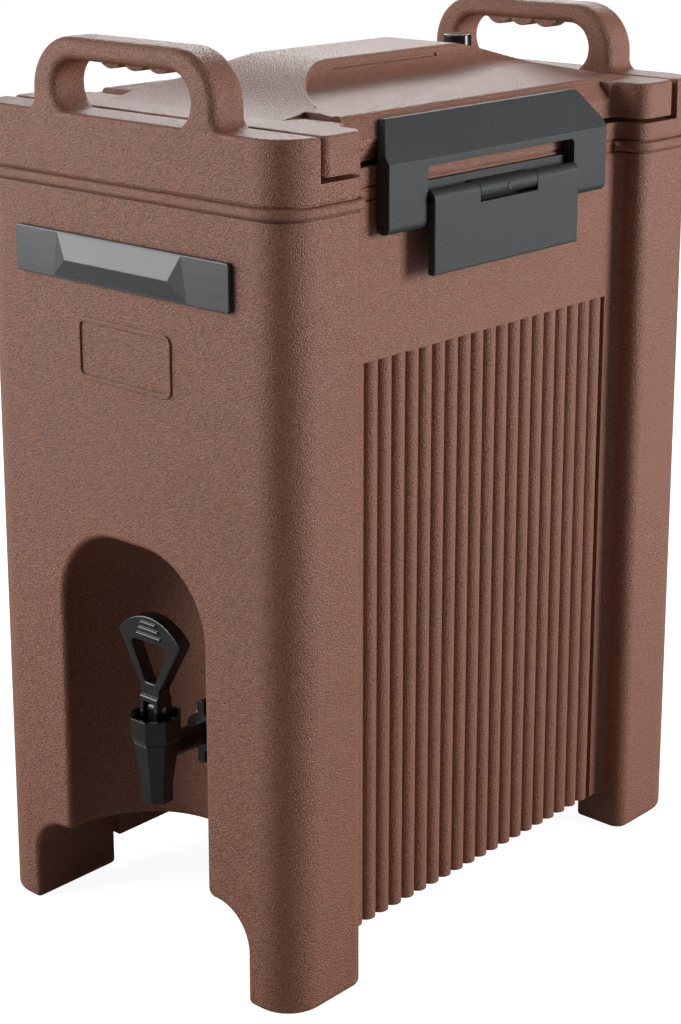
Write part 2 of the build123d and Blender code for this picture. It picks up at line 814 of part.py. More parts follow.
lid_cover.part.label = "lid_cover"
export_step(lid_cover.part, "parts/lid_cover.step")

# Lid liner: the lid's underside with a hollow plug that drops into the tank's mouth
plug_floor = lid_floor - plug_drop
with BuildPart() as lid_liner:
    with BuildSketch(Plane.XY.offset(lid_floor)):
        RectangleRounded(
            lid_hollow_width - 2 * seam_gap, lid_hollow_length - 2 * seam_gap, lid_hollow_round - seam_gap
        )
    extrude(amount=liner_thickness)
    with BuildSketch(Plane.XY.offset(plug_floor)):
        RectangleRounded(plug_width, plug_length, plug_round)
    extrude(amount=plug_drop)
    fillet(lid_liner.faces().sort_by(Axis.Z)[0].edges(), liner_thickness)
    with BuildSketch(Plane.XY.offset(plug_floor + liner_thickness)):
        RectangleRounded(
            plug_width - 2 * liner_thickness, plug_length - 2 * liner_thickness, plug_round - liner_thickness
        )
    extrude(amount=plug_drop + overrun, mode=Mode.SUBTRACT)
    with BuildSketch(Plane.XY.offset(lid_floor)):
        with GridLocations(2 * lid_screw_x, lid_screw_pitch, 2, 3):
            Circle(lid_screw_head_radius + thread_clearance)
    extrude(amount=lid_screw_head, mode=Mode.SUBTRACT)
    with BuildSketch(Plane.XY.offset(lid_floor)):
        with GridLocations(2 * lid_screw_x, lid_screw_pitch, 2, 3):
            Circle(lid_screw_radius + thread_clearance)
    extrude(amount=liner_thickness + overrun, mode=Mode.SUBTRACT)
    with BuildSketch(Plane.XY.offset(plug_floor - overrun)):
        with Locations((0, vent_y)):
            Circle(sleeve_radius + thread_clearance)
    extrude(amount=plug_drop + overrun, mode=Mode.SUBTRACT)

lid_liner.part.label = "lid_liner"
export_step(lid_liner.part, "parts/lid_liner.step")

# Lid foam: fills the lid between cover and liner, down into the plug and up into the spine
with BuildPart() as lid_foam:
    with BuildSketch(Plane.XY.offset(liner_top + seam_gap)):
        RectangleRounded(
            lid_hollow_width - 2 * seam_gap, lid_hollow_length - 2 * seam_gap, lid_hollow_round - seam_gap
        )
        with GridLocations(2 * lid_screw_x, lid_screw_pitch, 2, 3):
            Rectangle(
                2 * (lid_hollow_width / 2 - lid_screw_x + lid_boss_radius),
                2 * (lid_boss_radius + seam_gap), mode=Mode.SUBTRACT,
            )
    extrude(amount=lid_ceiling - liner_top - 2 * seam_gap)
    foam_low = plug_floor + liner_thickness + seam_gap
    with BuildSketch(Plane.XY.offset(foam_low)):
        RectangleRounded(
            plug_width - 2 * (liner_thickness + seam_gap), plug_length - 2 * (liner_thickness + seam_gap),
            plug_round - liner_thickness - seam_gap,
        )
    extrude(amount=liner_top + 2 * seam_gap - foam_low)
    with BuildSketch(Plane.XY.offset(liner_top + 2 * seam_gap)):
        with Locations((0, (spine_front + spine_rear) / 2)):
            RectangleRounded(
                spine_hollow_width - 2 * seam_gap, spine_hollow_length - 2 * seam_gap,
                lid_hollow_round - seam_gap,
            )
    extrude(amount=spine_top - spine_hollow_drop - liner_top - 3 * seam_gap)
    with BuildSketch(Plane.XY.offset(plug_floor)):
        with Locations((0, vent_y)):
            Circle(sleeve_radius + seam_gap)
    extrude(amount=vent_floor - plug_floor, mode=Mode.SUBTRACT)

lid_foam.part.label = "lid_foam"
export_step(lid_foam.part, "parts/lid_foam.step")

# Lid gasket: a flat ring between the liner and the tank's flange
with BuildPart() as lid_gasket:
    with BuildSketch(Plane.XY.offset(seat_height)):
        RectangleRounded(gasket_width, gasket_length, gasket_round)
        RectangleRounded(
            gasket_width - 2 * gasket_band, gasket_length - 2 * gasket_band, gasket_round - gasket_band,
            mode=Mode.SUBTRACT,
        )
    extrude(amount=lid_gap)

lid_gasket.part.label = "lid_gasket"
export_step(lid_gasket.part, "parts/lid_gasket.step")

# Lid screws: six, from below through the liner into the cover's bosses
with BuildPart() as lid_screws:
    with BuildSketch(Plane.XY.offset(lid_floor)):
        with GridLocations(2 * lid_screw_x, lid_screw_pitch, 2, 3):
            Circle(lid_screw_head_radius)
    extrude(amount=lid_screw_head)
    with BuildSketch(Plane.XY.offset(lid_floor)):
        with GridLocations(2 * lid_screw_x, lid_screw_pitch, 2, 3):
            Circle(lid_screw_radius)
    extrude(amount=lid_screw_length)
    with BuildSketch(Plane.XY.offset(lid_floor)):
        with GridLocations(2 * lid_screw_x, lid_screw_pitch, 2, 3):
            Rectangle(lid_screw_head_radius, screw_slot_width)
            Rectangle(screw_slot_width, lid_screw_head_radius)
    extrude(amount=screw_slot_depth, mode=Mode.SUBTRACT)

lid_screws.part.label = "lid_screws"
export_step(lid_screws.part, "parts/lid_screws.step")

# Vent: a sleeve through the lid, a gasket in the pocket round it and a turning cap
with BuildPart() as vent_sleeve:
    with BuildSketch(Plane.XY.offset(plug_floor - sleeve_tail)):
        with Locations((0, vent_y)):
            Circle(sleeve_radius)
            Circle(vent_stem_radius + pin_clearance, mode=Mode.SUBTRACT)
    extrude(amount=vent_floor - plug_floor + sleeve_tail)

vent_sleeve.part.label = "vent_sleeve"
export_step(vent_sleeve.part, "parts/vent_sleeve.step")

with BuildPart() as vent_gasket:
    with BuildSketch(Plane.XY.offset(vent_floor)):
        with Locations((0, vent_y)):
            Circle(vent_gasket_radius)
            Circle(vent_stem_radius + seam_gap, mode=Mode.SUBTRACT)
    extrude(amount=vent_gasket_thickness)

vent_gasket.part.label = "vent_gasket"
export_step(vent_gasket.part, "parts/vent_gasket.step")

with BuildPart() as vent_cap:
    with BuildSketch(Plane.XY.offset(vent_seat)):
        with Locations((0, vent_y)):
            Circle(vent_cap_radius)
    extrude(amount=vent_cap_height)
    fillet(vent_cap.faces().sort_by(Axis.Z)[-1].edges(), vent_cap_round)
    with BuildSketch(Plane.XY.offset(vent_seat - vent_stem_length)):
        with Locations((0, vent_y)):
            Circle(vent_stem_radius)
    extrude(amount=vent_stem_length)

vent_cap.part.label = "vent_cap"
export_step(vent_cap.part, "parts/vent_cap.step")

# Latch bracket: plate on the bay panel with a knuckle for the lever's pin
bracket_face_x = panel_x + bracket_thickness
with BuildPart() as latch_bracket_right:
    with BuildSketch(Plane.YZ.offset(panel_x)) as plate:
        with Locations((0, axle_z + bracket_rise)):
            Rectangle(2 * bracket_half, bracket_rise + bracket_drop, align=(Align.CENTER, Align.MAX))
            Rectangle(2 * lug_outer, bracket_rise + strip_drop, align=(Align.CENTER, Align.MAX))
        fillet(plate.vertices().group_by(Axis.Y)[0], bracket_corner_round)
    extrude(amount=bracket_thickness)
    with BuildSketch(Plane.XZ):
        with Locations((axle_x, axle_z)):
            Circle(barrel_radius)
            Rectangle(axle_x - panel_x, 2 * barrel_radius, align=(Align.MAX, Align.CENTER))
    extrude(amount=knuckle_half, both=True)
    with BuildSketch(Plane.XZ):
        with Locations((axle_x, axle_z)):
            Circle(lever_pin_radius + pin_clearance)
    extrude(amount=knuckle_half + overrun, both=True, mode=Mode.SUBTRACT)
    for level, radius in ((0, bracket_screw_radius), (bracket_screw_head, bracket_screw_head_radius)):
        with BuildSketch(Plane.YZ.offset(bracket_face_x - level)):
            with Locations((0, axle_z - bracket_screw_drop)):
                with GridLocations(2 * bracket_screw_y, 0, 2, 1):
                    Circle(radius + thread_clearance)
        extrude(amount=level if level else -bracket_thickness, mode=Mode.SUBTRACT)
    with BuildSketch(Plane.YZ.offset(axle_x)):
        with Locations((0, axle_z)):
            Circle(knuckle_screw_radius + thread_clearance)
    extrude(amount=2 * barrel_radius, mode=Mode.SUBTRACT)

# Bracket screws: two, sunk in the plate and driven into the panel
with BuildPart() as bracket_screws_right:
    with BuildSketch(Plane.YZ.offset(bracket_face_x)):
        with Locations((0, axle_z - bracket_screw_drop)):
            with GridLocations(2 * bracket_screw_y, 0, 2, 1):
                Circle(bracket_screw_head_radius)
    extrude(amount=-bracket_screw_head)
    with BuildSketch(Plane.YZ.offset(bracket_face_x)):
        with Locations((0, axle_z - bracket_screw_drop)):
            with GridLocations(2 * bracket_screw_y, 0, 2, 1):
                Circle(bracket_screw_radius)
    extrude(amount=-bracket_thickness - bracket_screw_bite)
    with BuildSketch(Plane.YZ.offset(bracket_face_x)):
        with Locations((0, axle_z - bracket_screw_drop)):
            with GridLocations(2 * bracket_screw_y, 0, 2, 1):
                Rectangle(bracket_screw_head_radius, screw_slot_width)
                Rectangle(screw_slot_width, bracket_screw_head_radius)
    extrude(amount=-screw_slot_depth, mode=Mode.SUBTRACT)

# Knuckle screw: locks the lever's pin and shows a slotted head on the knuckle
knuckle_face_x = axle_x + barrel_radius
with BuildPart() as knuckle_screw_right:
    with BuildSketch(Plane.YZ.offset(axle_x + lever_pin_radius + pin_clearance)):
        with Locations((0, axle_z)):
            Circle(knuckle_screw_radius)
    extrude(amount=barrel_radius - lever_pin_radius - pin_clearance)
    with BuildSketch(Plane.YZ.offset(knuckle_face_x)):
        with Locations((0, axle_z)):
            Circle(knuckle_screw_head_radius)
    extrude(amount=knuckle_screw_proud)
    with BuildSketch(Plane.YZ.offset(knuckle_face_x + knuckle_screw_proud)):
        with Locations((0, axle_z)):
            Rectangle(2 * knuckle_screw_head_radius, screw_slot_width / 2, rotation=45)
    extrude(amount=-knuckle_screw_proud / 2, mode=Mode.SUBTRACT)

# Lever pin: through the knuckle and both barrels of the lever
with BuildPart() as lever_pin_right:
    with BuildSketch(Plane.XZ):
        with Locations((axle_x, axle_z)):
            Circle(lever_pin_radius)
    extrude(amount=lever_half - lever_pin_inset, both=True)

# Latch lever: a flap hung from two barrels, with a lug near each end that carries the bail's pin
flap_x = axle_x + flap_offset
with BuildPart() as latch_lever_right:
    with BuildSketch(Plane.XZ):
        with Locations((flap_x, axle_z)):
            Rectangle(flap_thickness, flap_drop, align=(Align.MIN, Align.MAX))
    extrude(amount=lever_half, both=True)
    outer_edges = latch_lever_right.faces().sort_by(Axis.X)[-1].edges()
    fillet(outer_edges.filter_by_position(Axis.Z, axle_z - flap_drop, axle_z - seam_gap), flap_edge_round)
    with BuildSketch(Plane.XZ):
        with Locations((axle_x, axle_z)):
            Circle(barrel_radius)
    extrude(amount=lever_half, both=True)
    with Locations((axle_x, 0, axle_z)):
        Box(4 * barrel_radius, 2 * (knuckle_half + barrel_gap), 2 * flap_notch_depth, mode=Mode.SUBTRACT)
    for side in (1, -1):
        with BuildSketch(Plane.XZ.offset(side * lug_inner)):
            with Locations((link_x, link_z)):
                Circle(lug_radius)
                Rectangle(
                    flap_x + flap_thickness / 2 - link_x, 2 * lug_radius, align=(Align.MIN, Align.CENTER)
                )
        extrude(amount=side * (lug_outer - lug_inner))
    with BuildSketch(Plane.XZ):
        with Locations((axle_x, axle_z)):
            Circle(lever_pin_radius + pin_clearance)
        with Locations((link_x, link_z)):
            Circle(bail_pin_radius + pin_clearance)
    extrude(amount=lever_half + overrun, both=True, mode=Mode.SUBTRACT)

# Bail pin: through the lever's lugs and both legs of the bail
with BuildPart() as bail_pin_right:
    with BuildSketch(Plane.XZ):
        with Locations((link_x, link_z)):
            Circle(bail_pin_radius)
    extrude(amount=bail_half - bail_pin_inset, both=True)

# Latch bail: a wide hoop whose top leans over the lid's bevelled edge
bail_top = seat_height + bail_rise
bend_z = seat_height + bail_knee_rise
bail_inner_x = link_x - leg_half
bail_lip_x = bail_inner_x - bevel_run_share * (bail_top - bend_z)
with BuildPart() as latch_bail_right:
    with BuildSketch(Plane.XZ) as hoop:
        with BuildLine():
            Polyline(
                (bail_inner_x, link_z), (bail_inner_x, bend_z), (bail_lip_x, bail_top),
                (bail_lip_x + bail_lip, bail_top), (link_x + leg_half, seat_height + bail_bend_rise),
                (link_x + leg_half, link_z), close=True,
            )
        make_face()
        fillet(hoop.vertices().group_by(Axis.Y)[-1], bail_edge_round)
        with Locations((link_x, link_z)):
            Circle(leg_half)
    extrude(amount=bail_half, both=True)
    with BuildSketch(Plane.YZ) as outline:
        low = link_z - overrun
        window_top = seat_height - window_drop
        with BuildLine():
            Polyline(
                (-bail_half, low), (-bail_half, bail_top - bail_corner_drop),
                (-bail_half + bail_corner_run, bail_top), (bail_half - bail_corner_run, bail_top),
                (bail_half, bail_top - bail_corner_drop), (bail_half, low), (window_half, low),
                (window_half, window_top), (-window_half, window_top), (-window_half, low), close=True,
            )
        make_face()
        corners = outline.vertices().filter_by_position(Axis.Y, window_top - seam_gap, bail_top)
        fillet(corners, window_round)
    extrude(amount=width, mode=Mode.INTERSECT)
    with BuildSketch(Plane.XZ):
        with Locations((link_x, link_z)):
            Circle(bail_pin_radius + pin_clearance)
    extrude(amount=bail_half + overrun, both=True, mode=Mode.SUBTRACT)

# Both latches: the right one as drawn, the left one mirrored
for name, piece in (
    ("latch_bracket", latch_bracket_right),
    ("bracket_screws", bracket_screws_right),
    ("knuckle_screw", knuckle_screw_right),
    ("lever_pin", lever_pin_right),
    ("latch_lever", latch_lever_right),
    ("bail_pin", bail_pin_right),
    ("latch_bail", latch_bail_right),
):
    with BuildPart() as twin:
        mirror(piece.part, about=Plane.YZ)
    piece.part.label = f"{name}_right"
    export_step(piece.part, f"parts/{name}_right.step")
    twin.part.label = f"{name}_left"
    export_step(twin.part, f"parts/{name}_left.step")

# Faucet body: eight-sided spout with a valve chamber, and the shank that runs back through the wall
with BuildPart() as faucet_body:
    with BuildSketch(Plane.XY.offset(spout_low)):
        with Locations((0, tap_y)):
            RegularPolygon(spout_radius, tap_sides, major_radius=False, rotation=180 / tap_sides)
    extrude(amount=spout_straight)
    with BuildSketch(Plane.XY.offset(spout_low + spout_straight)):
        with Locations((0, tap_y)):
            RegularPolygon(spout_radius, tap_sides, major_radius=False, rotation=180 / tap_sides)
    with BuildSketch(Plane.XY.offset(shoulder_height)):
        with Locations((0, tap_y)):
            RegularPolygon(shoulder_radius, tap_sides, major_radius=False, rotation=180 / tap_sides)
    loft(ruled=True)
    with BuildSketch(Plane.XY.offset(shoulder_height)):
        with Locations((0, tap_y)):
            Circle(neck_radius)
    extrude(amount=neck_height)
    with BuildSketch(Plane.XZ.offset(-tap_y)):
        with Locations((0, tap_height)):
            Circle(shank_radius)
    extrude(amount=tap_y - shank_end_y)
    with BuildSketch(Plane.XY.offset(seat_level)):
        with Locations((0, tap_y)):
            Circle(chamber_radius)
    extrude(amount=neck_top - seat_level + overrun, mode=Mode.SUBTRACT)
    with BuildSketch(Plane.XY.offset(spout_low - overrun)):
        with Locations((0, tap_y)):
            Circle(spout_bore_radius)
    extrude(amount=seat_level - spout_low + 2 * overrun, mode=Mode.SUBTRACT)
    with BuildSketch(Plane.XZ.offset(-tap_y)):
        with Locations((0, tap_height)):
            Circle(shank_bore_radius)
    extrude(amount=tap_y - shank_end_y - overrun, mode=Mode.SUBTRACT)

faucet_body.part.label = "faucet_body"
export_step(faucet_body.part, "parts/faucet_body.step")

# Bonnet: eight-sided cap on the body's neck, open at the top like a cup
with BuildPart() as faucet_bonnet:
    with BuildSketch(Plane.XY.offset(bonnet_low)):
        with Locations((0, tap_y)):
            RegularPolygon(shoulder_radius, tap_sides, major_radius=False, rotation=180 / tap_sides)
    with BuildSketch(Plane.XY.offset(bonnet_low + bonnet_flare)):
        with Locations((0, tap_y)):
            RegularPolygon(bonnet_radius, tap_sides, major_radius=False, rotation=180 / tap_sides)
    loft(ruled=True)
    with BuildSketch(Plane.XY.offset(bonnet_low + bonnet_flare)):
        with Locations((0, tap_y)):
            RegularPolygon(bonnet_radius, tap_sides, major_radius=False, rotation=180 / tap_sides)
    extrude(amount=bonnet_height - bonnet_flare)
    with BuildSketch(Plane.XY.offset(cup_floor)):
        with Locations((0, tap_y)):
            RegularPolygon(cup_radius, tap_sides, major_radius=False, rotation=180 / tap_sides)
    extrude(amount=bonnet_height, mode=Mode.SUBTRACT)
    with BuildSketch(Plane.XY.offset(bonnet_low)):
        with Locations((0, tap_y)):
            Circle(neck_radius + thread_clearance)
    extrude(amount=bonnet_ceiling - bonnet_low, mode=Mode.SUBTRACT)
    with BuildSketch(Plane.XY.offset(bonnet_low)):
        with Locations((0, tap_y)):
            Circle(stem_radius + pin_clearance)
    extrude(amount=bonnet_height, mode=Mode.SUBTRACT)

faucet_bonnet.part.label = "faucet_bonnet"
export_step(faucet_bonnet.part, "parts/faucet_bonnet.step")

# Seat cup: soft plug on the lower end of the stem that closes the outlet
with BuildPart() as seat_cup:
    with BuildSketch(Plane.XY.offset(seat_cup_low)):
        with Locations((0, tap_y)):
            Circle(seat_cup_radius)
    extrude(amount=seat_cup_height)
    with BuildSketch(Plane.XY.offset(seat_cup_low + seat_cup_grip)):
        with Locations((0, tap_y)):
            Circle(stem_radius + thread_clearance)
    extrude(amount=seat_cup_height, mode=Mode.SUBTRACT)

seat_cup.part.label = "seat_cup"
export_step(seat_cup.part, "parts/seat_cup.step")

# Valve stem: round rod with a flat blade, rounded about the handle's pin at its top
stem_low = seat_cup_low + seat_cup_grip + seam_gap
blade_low = cup_floor + seam_gap
slot_top = handle_pin_height + blade_half_depth + blade_slack
with BuildPart() as valve_stem:
    with BuildSketch(Plane.XY.offset(stem_low)):
        with Locations((0, tap_y)):
            Circle(stem_radius)
    extrude(amount=blade_low - stem_low)
    with BuildSketch(Plane.YZ):
        with Locations((tap_y, handle_pin_height)):
            Circle(blade_half_depth)
            Rectangle(2 * blade_half_depth, handle_pin_height - blade_low, align=(Align.CENTER, Align.MAX))
    extrude(amount=blade_half, both=True)
    with BuildSketch(Plane.YZ):
        with Locations((tap_y, handle_pin_height)):
            Circle(handle_pin_radius + thread_clearance)
    extrude(amount=blade_half + overrun, both=True, mode=Mode.SUBTRACT)

valve_stem.part.label = "valve_stem"
export_step(valve_stem.part, "parts/valve_stem.step")

# Valve spring: between the seat cup and the bonnet's ceiling
spring_low = seat_cup_low + seat_cup_height + spring_wire_radius + seam_gap
spring_height = bonnet_ceiling - seam_gap - spring_wire_radius - spring_low
with BuildPart() as valve_spring:
    with BuildLine() as coil:
        Helix(pitch=spring_pitch, height=spring_height, radius=spring_radius, center=(0, tap_y, spring_low))
    with BuildSketch(Plane(origin=coil.line @ 0, z_dir=coil.line % 0)):
        Circle(spring_wire_radius)
    sweep()

valve_spring.part.label = "valve_spring"
export_step(valve_spring.part, "parts/valve_spring.step")

# Handle pin: joins the handle's cheeks to the stem's blade
with BuildPart() as handle_pin:
    with BuildSketch(Plane.YZ):
        with Locations((tap_y, handle_pin_height)):
            Circle(handle_pin_radius)
    extrude(amount=handle_pin_half, both=True)

handle_pin.part.label = "handle_pin"
export_step(handle_pin.part, "parts/handle_pin.step")

# Tap handle: forked foot that rocks on the bonnet's floor, and a wide loop with a ridged grip
foot_low = cup_floor + seam_gap
cheek_top = handle_pin_height + cheek_rise
foot_half = foot_flat + foot_corner
loop_face_y = tap_y - loop_half_depth
with BuildPart() as tap_handle:
    with BuildSketch(Plane.YZ) as foot:
        with Locations((tap_y, foot_low)):
            Rectangle(2 * foot_half, cheek_top - foot_low, align=(Align.CENTER, Align.MIN))
        fillet(foot.vertices().group_by(Axis.Y)[0], foot_corner)
        fillet(foot.vertices().group_by(Axis.Y)[-1], foot_half - loop_half_depth)
    extrude(amount=cheek_outer, both=True)
    with BuildSketch(Plane.XZ.offset(-loop_face_y)) as loop:
        with BuildLine():
            Polyline(
                (0, slot_top), (cheek_outer, slot_top),
                (cheek_outer, handle_pin_height + loop_neck_rise),
                (loop_half, handle_pin_height + loop_shoulder_rise),
            )
            mirror(about=Plane.YZ)
            ThreePointArc(
                (loop_half, handle_pin_height + loop_shoulder_rise), (0, handle_pin_height + loop_top_rise),
                (-loop_half, handle_pin_height + loop_shoulder_rise),
            )
        make_face()
        shoulders = loop.vertices().filter_by(lambda corner: abs(corner.X) > loop_half - seam_gap)
        fillet(shoulders, loop_hole_round)
        with BuildSketch(mode=Mode.PRIVATE) as eye:
            with BuildLine():
                Polyline(
                    (-loop_hole_low_half, handle_pin_height + loop_hole_low_rise),
                    (loop_hole_low_half, handle_pin_height + loop_hole_low_rise),
                    (loop_hole_top_half, handle_pin_height + loop_hole_top_rise),
                    (-loop_hole_top_half, handle_pin_height + loop_hole_top_rise), close=True,
                )
            make_face()
            fillet(eye.vertices(), loop_hole_round)
        add(eye.sketch, mode=Mode.SUBTRACT)
    extrude(amount=-2 * loop_half_depth)
    rims = tap_handle.faces().filter_by(Axis.Y).edges()
    fillet(rims.filter_by_position(Axis.Z, cheek_top + overrun, slot_top + width), loop_edge_round)
    with BuildSketch(Plane.XY.offset(foot_low - overrun)):
        with Locations((0, tap_y)):
            Rectangle(2 * cheek_inner, 2 * (foot_half + overrun))
    extrude(amount=slot_top - foot_low + overrun, mode=Mode.SUBTRACT)
    with BuildSketch(Plane.YZ):
        with Locations((tap_y, handle_pin_height)):
            Circle(handle_pin_radius + pin_clearance)
    extrude(amount=cheek_outer + overrun, both=True, mode=Mode.SUBTRACT)
    for place in range(grip_ridge_count):
        with Locations((0, loop_face_y, handle_pin_height + grip_ridge_rise + place * grip_ridge_pitch)):
            Cylinder(grip_ridge_radius, grip_ridge_length - place * grip_ridge_pitch, rotation=(0, 90, 0))

tap_handle.part.label = "tap_handle"
export_step(tap_handle.part, "parts/tap_handle.step")

# Wing collar on the shank, drawn up against a soft washer on the niche's boss
collar_y = boss_face_y - washer_thickness
with BuildPart() as shank_collar:
    with BuildSketch(Plane.XZ.offset(-collar_y)):
        with Locations((0, tap_height)):
            Circle(collar_radius)
            RectangleRounded(collar_ear_width, 2 * collar_ear_reach, collar_ear_round)
            Circle(shank_radius + thread_clearance, mode=Mode.SUBTRACT)
    extrude(amount=collar_length)

shank_collar.part.label = "shank_collar"
export_step(shank_collar.part, "parts/shank_collar.step")

with BuildPart() as shank_outer_washer:
    with BuildSketch(Plane.XZ.offset(-boss_face_y)):
        with Locations((0, tap_height)):
            Circle(washer_radius)
            Circle(shank_radius + thread_clearance, mode=Mode.SUBTRACT)
    extrude(amount=washer_thickness)

shank_outer_washer.part.label = "shank_outer_washer"
export_step(shank_outer_washer.part, "parts/shank_outer_washer.step")

# Soft washer and nut on the shank, inside the tank
with BuildPart() as shank_inner_washer:
    with BuildSketch(Plane.XZ.offset(-tank_wall_y)):
        with Locations((0, tap_height)):
            Circle(washer_radius)
            Circle(shank_radius + thread_clearance, mode=Mode.SUBTRACT)
    extrude(amount=-washer_thickness)

shank_inner_washer.part.label = "shank_inner_washer"
export_step(shank_inner_washer.part, "parts/shank_inner_washer.step")

with BuildPart() as shank_nut:
    with BuildSketch(Plane.XZ.offset(-tank_wall_y - washer_thickness)):
        with Locations((0, tap_height)):
            RegularPolygon(nut_radius, nut_sides, major_radius=False)
            Circle(shank_radius + thread_clearance, mode=Mode.SUBTRACT)
    extrude(amount=-nut_length)

shank_nut.part.label = "shank_nut"
export_step(shank_nut.part, "parts/shank_nut.step")
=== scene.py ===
import json
from math import radians

import bpy
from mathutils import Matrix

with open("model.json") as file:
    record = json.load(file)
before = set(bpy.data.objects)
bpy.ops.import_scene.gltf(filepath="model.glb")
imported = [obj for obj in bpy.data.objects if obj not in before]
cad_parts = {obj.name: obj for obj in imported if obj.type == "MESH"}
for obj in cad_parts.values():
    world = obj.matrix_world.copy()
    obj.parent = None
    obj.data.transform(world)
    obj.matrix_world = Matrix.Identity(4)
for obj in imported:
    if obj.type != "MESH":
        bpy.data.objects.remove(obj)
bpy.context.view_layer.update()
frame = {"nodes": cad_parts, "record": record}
nodes = frame["nodes"]

# Studio floor: what the camera sees near and far, and the painted reflection that shiny faces see of it
floor_reach = 30.0
near_glow, far_glow = 0.93, 1.0
near_glow_at, far_glow_at = 0.45, 1.2
near_sheen, far_sheen = 0.02, 0.55
near_sheen_at, far_sheen_at = 0.8, 2.4
sheen_side = (-0.67, -0.74, 0.0)

# Surroundings
dim_fill = 0.08
pale_gloss = 0.25

# Camera at the photograph's place
camera_lens = 75.67
camera_sensor = 36.0
camera_shift = -0.16
camera_clip = 100.0
camera_place = (0.95437, -1.06965, 0.72773)
camera_down = 14.07
camera_turn = 42.06

# Edges count as rubbed, and take a painted highlight, from this turn of the softened normal
wear_and_highlight_reach = 0.86
wear_and_highlight_none = 0.995


class Graph:
    """A material's node tree with short calls to add and join nodes."""

    def __init__(self, name):
        self.material = bpy.data.materials.new(name)
        self.material.use_nodes = True
        self.tree = self.material.node_tree
        self.shader = self.tree.nodes["Principled BSDF"]
        coords = self.add("ShaderNodeTexCoord")
        self.place = coords.outputs["Object"]

    def add(self, kind, **settings):
        node = self.tree.nodes.new(kind)
        for key, value in settings.items():
            setattr(node, key, value)
        return node

    def join(self, source, target):
        self.tree.links.new(source, target)

    def constant(self, socket, value):
        self.shader.inputs[socket].default_value = value

    def noise(self, scale, detail=3.0, rough=0.55, stretch=None):
        node = self.add("ShaderNodeTexNoise")
        node.inputs["Scale"].default_value = scale
        node.inputs["Detail"].default_value = detail
        node.inputs["Roughness"].default_value = rough
        self.join(self.stretched(stretch), node.inputs["Vector"])
        return node.outputs["Fac"]

    def cells(self, scale, smooth=0.6):
        node = self.add("ShaderNodeTexVoronoi", feature="SMOOTH_F1")
        node.inputs["Scale"].default_value = scale
        node.inputs["Smoothness"].default_value = smooth
        self.join(self.place, node.inputs["Vector"])
        return node.outputs["Distance"]

    def stretched(self, stretch):
        if stretch is None:
            return self.place
        node = self.add("ShaderNodeMapping")
        node.inputs["Scale"].default_value = stretch
        self.join(self.place, node.inputs["Vector"])
        return node.outputs["Vector"]

    def ramp(self, factor, low, high, start=0.3, stop=0.7):
        node = self.add("ShaderNodeValToRGB")
        first, last = node.color_ramp.elements
        first.position, last.position = start, stop
        first.color, last.color = (*low, 1.0), (*high, 1.0)
        self.join(factor, node.inputs["Fac"])
        return node.outputs["Color"]

    def spread(self, factor, low, high, start=0.3, stop=0.7):
        node = self.add("ShaderNodeMapRange")
        for key, value in (("From Min", start), ("From Max", stop), ("To Min", low), ("To Max", high)):
            node.inputs[key].default_value = value
        self.join(factor, node.inputs["Value"])
        return node.outputs["Result"]

    def shaded(self, first, second):
        """One colour multiplied by another."""
        node = self.add("ShaderNodeMix", data_type="RGBA", blend_type="MULTIPLY")
        node.inputs["Factor"].default_value = 1.0
        self.join(first, node.inputs["A"])
        self.join(second, node.inputs["B"])
        return node.outputs["Result"]

    def mixed(self, first, colour, factor):
        node = self.add("ShaderNodeMix", data_type="RGBA")
        self.join(factor, node.inputs["Factor"])
        self.join(first, node.inputs["A"])
        node.inputs["B"].default_value = (*colour, 1.0)
        return node.outputs["Result"]

    def math(self, operation, first, second):
        node = self.add("ShaderNodeMath", operation=operation)
        self.join(first, node.inputs[0])
        self.join(second, node.inputs[1])
        return node.outputs["Value"]

    def total(self, first, second):
        return self.math("ADD", first, second)

    def less(self, first, second):
        return self.math("SUBTRACT", first, second)

    def times(self, first, second):
        return self.math("MULTIPLY", first, second)

    def scaled(self, value, amount):
        node = self.add("ShaderNodeMath", operation="MULTIPLY")
        node.inputs[1].default_value = amount
        self.join(value, node.inputs[0])
        return node.outputs["Value"]

    def soft_edges(self, radius):
        node = self.add("ShaderNodeBevel", samples=6)
        node.inputs["Radius"].default_value = radius
        return node.outputs["Normal"]

    def edge_wear_and_highlight(self, soft, patches):
        """How much an edge is lightened by wear and a painted highlight: strongest where the softened
        normal turns away from the flat one.
        """
        shape = self.add("ShaderNodeNewGeometry")
        turn = self.add("ShaderNodeVectorMath", operation="DOT_PRODUCT")
        self.join(soft, turn.inputs[0])
        self.join(shape.outputs["Normal"], turn.inputs[1])
        edge = self.spread(turn.outputs["Value"], low=1.0, high=0.0, start=wear_and_highlight_reach, stop=wear_and_highlight_none)
        return self.times(edge, self.spread(patches, low=0.25, high=1.0, start=0.35, stop=0.65))

    def relief(self, height, depth, under=None):
        node = self.add("ShaderNodeBump")
        node.inputs["Strength"].default_value = 1.0
        node.inputs["Distance"].default_value = depth
        self.join(height, node.inputs["Height"])
        if under is not None:
            self.join(under, node.inputs["Normal"])
        return node.outputs["Normal"]

    def finish(self, colour, rough, normal):
        self.join(colour, self.shader.inputs["Base Color"])
        self.join(rough, self.shader.inputs["Roughness"])
        self.join(normal, self.shader.inputs["Normal"])
        return self.material


